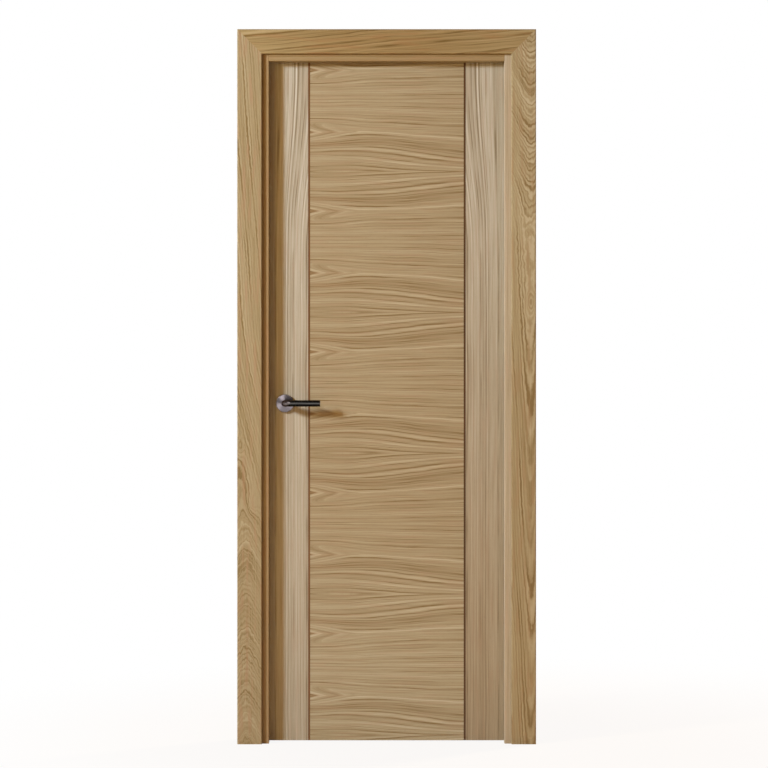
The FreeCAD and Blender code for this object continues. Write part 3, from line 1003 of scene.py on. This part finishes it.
def brushed_elbow(tree, shader, place, tone, roughness):
    """The neck and elbow of the lever are brushed, and its grip beyond them is polished."""
    spindle = middle_of("rose_front", X)
    share = remap(tree, place[X], spindle + elbow_from, spindle + elbow_to, 1.0, 0.0)
    plain_tone = shader.inputs["Base Color"].links[0].from_socket
    plain_roughness = shader.inputs["Roughness"].links[0].from_socket
    feed(tree, shader.inputs["Base Color"], mix_colour(tree, share, plain_tone, srgb(*tone)))
    extra = calc(tree, "MULTIPLY", share, roughness)
    feed(tree, shader.inputs["Roughness"], calc(tree, "ADD", plain_roughness, extra))


even = (1.0, 1.0, 1.0)
drawn_along = (0.05, 1.0, 1.0)
drawn_up = (1.0, 1.0, 0.04)
levels = ("bottom", "middle", "top")
rose_steel, tree, shader, place = steel_material("rose_steel", (165, 154, 158), 0.34, 900.0, even)
turned(tree, shader, 0.92)
lever_steel, tree, shader, place = steel_material("lever_steel", (94, 91, 88), 0.08, 700.0, drawn_along)
shader.inputs["Specular Tint"].default_value = (0.25, 0.24, 0.23, 1.0)
brushed_elbow(tree, shader, place, (138, 126, 124), 0.42)
satin_steel = steel_material("satin_steel", (152, 150, 146), 0.34, 900.0, drawn_up)[0]
screw_steel = steel_material("screw_steel", (172, 169, 162), 0.28, 700.0, even)[0]
use(rose_steel, "rose_front", "rose_back")
use(lever_steel, "lever_front", "lever_back")
use(satin_steel, "spindle", "latch_follower", "latch_case", "latch_bolt")
use(satin_steel, "latch_face_plate", "strike_plate")
for level in levels:
    use(satin_steel, "hinge_frame_half_" + level, "hinge_leaf_half_" + level, "hinge_pin_" + level)

print("metals done")

# %% [markdown]
# ## A screw head
# Screws with low raised heads and a cross recess hold the hinges and the plates. The cross is a
# square grid without its corner cells, pushed in. A circle stands round it, bridge_loops fills the
# ring between the two, and the circle is drawn down in two steps for the rounded edge and the
# flank, which ends inside the plate. Bridging keeps the faces tidy, where cutting the cross out
# with another solid would leave slivers.

# %% A screw head
head_radius = 0.0042
head_proud = 0.0006
head_sunk = 0.0004
head_edge = 0.00035
recess_reach = 0.0024
recess_depth = 0.0005
head_segments = 24


def push(shape, corners, distance):
    """Move corners along the axis of a screw or a dome."""
    bmesh.ops.translate(shape, verts=corners, vec=(0.0, 0.0, distance))


def draw_rim(shape, rim, radius, distance):
    """Draw a round edge on to a new radius and height; gives the new edge."""
    drawn = bmesh.ops.extrude_edge_only(shape, edges=rim)["geom"]
    corners = [item for item in drawn if isinstance(item, bmesh.types.BMVert)]
    share = radius / corners[0].co.xy.length
    bmesh.ops.scale(shape, verts=corners, vec=(share, share, 1.0))
    push(shape, corners, distance)
    return [item for item in drawn if isinstance(item, bmesh.types.BMEdge)]


def screw_head():
    """One head that looks along +Z, with the face of its plate at zero."""
    shape = bmesh.new()
    bmesh.ops.create_grid(shape, x_segments=3, y_segments=3, size=recess_reach)
    cell = recess_reach * 2 / 3
    corner_cells = [
        face for face in shape.faces
        if min(abs(face.calc_center_median().x), abs(face.calc_center_median().y)) > cell / 2
    ]
    bmesh.ops.delete(shape, geom=corner_cells, context="FACES")
    top = shape.faces[:]
    floor_part = bmesh.ops.extrude_face_region(shape, geom=top)["geom"]
    push(shape, [item for item in floor_part if isinstance(item, bmesh.types.BMVert)], -recess_depth)
    bmesh.ops.delete(shape, geom=top, context="FACES_ONLY")
    loose = [edge for edge in shape.edges if not edge.link_faces]
    bmesh.ops.delete(shape, geom=loose, context="EDGES")
    outline = [edge for edge in shape.edges if edge.is_boundary]
    bmesh.ops.subdivide_edges(shape, edges=outline, cuts=1)
    outline = [edge for edge in shape.edges if edge.is_boundary]
    ring = bmesh.ops.create_circle(shape, segments=head_segments, radius=head_radius - head_edge)
    rim = list({edge for corner in ring["verts"] for edge in corner.link_edges})
    bmesh.ops.bridge_loops(shape, edges=outline + rim)
    rim = draw_rim(shape, rim, head_radius, -head_edge)
    rim = draw_rim(shape, rim, head_radius - head_sunk, head_edge - head_proud - head_sunk)
    bmesh.ops.contextual_create(shape, geom=rim)
    bmesh.ops.recalc_face_normals(shape, faces=shape.faces)
    push(shape, shape.verts, head_proud)
    return shape


shape = screw_head()
print(len(shape.faces), "faces a head, closed:", all(edge.is_manifold for edge in shape.edges))
shape.free()

# %% [markdown]
# ## The domes of the roses
# The face of each rose rises gently from its rim to the neck of the lever, and that lean gives it
# a dark and a pale half. A circle round the neck is drawn outwards ring by ring down the curve of
# the dome. A short skirt at both ends goes into the rose, and closing it makes the cap solid. A
# relief in the steel alone would leave the rose flat when seen from the side.

# %% The domes of the roses
dome_hole = 0.0097
dome_rim = 0.0248
dome_slope = 0.24
dome_skirt = 0.0003
dome_rings = 8
dome_segments = 64
sharp_angle = 0.5


def dome_rise(radius):
    """How far the dome stands out of its rose, at a distance from the spindle."""
    return dome_slope / (2 * dome_rim) * (dome_rim ** 2 - radius ** 2)


def add_dome(rose, side):
    """A domed cap on the face of a rose that looks to one side along Y."""
    low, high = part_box(rose)
    shape = bmesh.new()
    ring = bmesh.ops.create_circle(shape, segments=dome_segments, radius=dome_hole)
    hole = list({edge for corner in ring["verts"] for edge in corner.link_edges})
    rim = draw_rim(shape, hole, dome_hole, dome_skirt + dome_rise(dome_hole))
    radius = dome_hole
    for _ in range(dome_rings):
        wider = radius + (dome_rim - dome_hole) / dome_rings
        rim = draw_rim(shape, rim, wider, dome_rise(wider) - dome_rise(radius))
        radius = wider
    rim = draw_rim(shape, rim, radius, -dome_skirt)
    bmesh.ops.bridge_loops(shape, edges=hole + rim)
    bmesh.ops.recalc_face_normals(shape, faces=shape.faces)
    for face in shape.faces:
        face.smooth = True
    for edge in shape.edges:
        edge.smooth = edge.calc_face_angle() < sharp_angle
    push(shape, shape.verts, -dome_skirt)
    bmesh.ops.rotate(shape, verts=shape.verts, matrix=Matrix.Rotation(-side * math.pi / 2, 3, "X"))
    face_y = high[Y] if side > 0 else low[Y]
    bmesh.ops.translate(shape, verts=shape.verts, vec=(middle_of(rose, X), face_y, middle_of(rose, Z)))
    closed = all(edge.is_manifold for edge in shape.edges)
    mesh = bpy.data.meshes.new("dome_" + rose)
    shape.to_mesh(mesh)
    shape.free()
    dome = bpy.data.objects.new("dome_" + rose, mesh)
    bpy.context.scene.collection.objects.link(dome)
    mesh.materials.append(rose_steel)
    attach(dome, "leaf")
    print(dome.name, len(mesh.polygons), "faces, closed:", closed)


add_dome("rose_front", -1)
add_dome("rose_back", 1)

# %% [markdown]
# ## The screws of the hinges and plates
# Each hinge plate has four screws in zigzag, as near its outer as its inner edge, and the two
# upright plates of the latch have one at each end. All the screws of a plate are one piece. Each
# head is turned a little further than the one before, because no two stop at the same angle.

# %% The screws of the hinges and plates
hinge_levels = (-0.038, -0.013, 0.013, 0.038)
hinge_insets = (0.007, 0.019)
plate_reach = 0.0715
turn_step = 0.7


def add_screws(plate, body, places, side):
    """The screws of one plate, at (Y, Z) places, on the face that looks to one side along X."""
    low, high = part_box(plate)
    face = high[X] if side > 0 else low[X]
    joined = bmesh.new()
    mesh = bpy.data.meshes.new("screws_" + plate)
    for number, (y, z) in enumerate(places):
        shape = screw_head()
        bmesh.ops.rotate(shape, verts=shape.verts, matrix=Matrix.Rotation(number * turn_step, 3, "Z"))
        bmesh.ops.rotate(shape, verts=shape.verts, matrix=Matrix.Rotation(side * math.pi / 2, 3, "Y"))
        bmesh.ops.translate(shape, verts=shape.verts, vec=(face, y, z))
        shape.to_mesh(mesh)
        shape.free()
        joined.from_mesh(mesh)
    joined.to_mesh(mesh)
    joined.free()
    screws = bpy.data.objects.new("screws_" + plate, mesh)
    bpy.context.scene.collection.objects.link(screws)
    mesh.materials.append(screw_steel)
    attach(screws, body)


for level in levels:
    middle = middle_of("hinge_pin_" + level, Z)
    places = [
        (span("veneer_back_right", Y)[1] - hinge_insets[number % 2], middle + step)
        for number, step in enumerate(hinge_levels)
    ]
    add_screws("hinge_leaf_half_" + level, "leaf", places, 1)
    add_screws("hinge_frame_half_" + level, "frame", places, -1)
for plate, body, side in (("latch_face_plate", "leaf", -1), ("strike_plate", "frame", 1)):
    middle = middle_of(plate, Z)
    places = [(middle_of(plate, Y), middle + reach) for reach in (-plate_reach, plate_reach)]
    add_screws(plate, body, places, side)
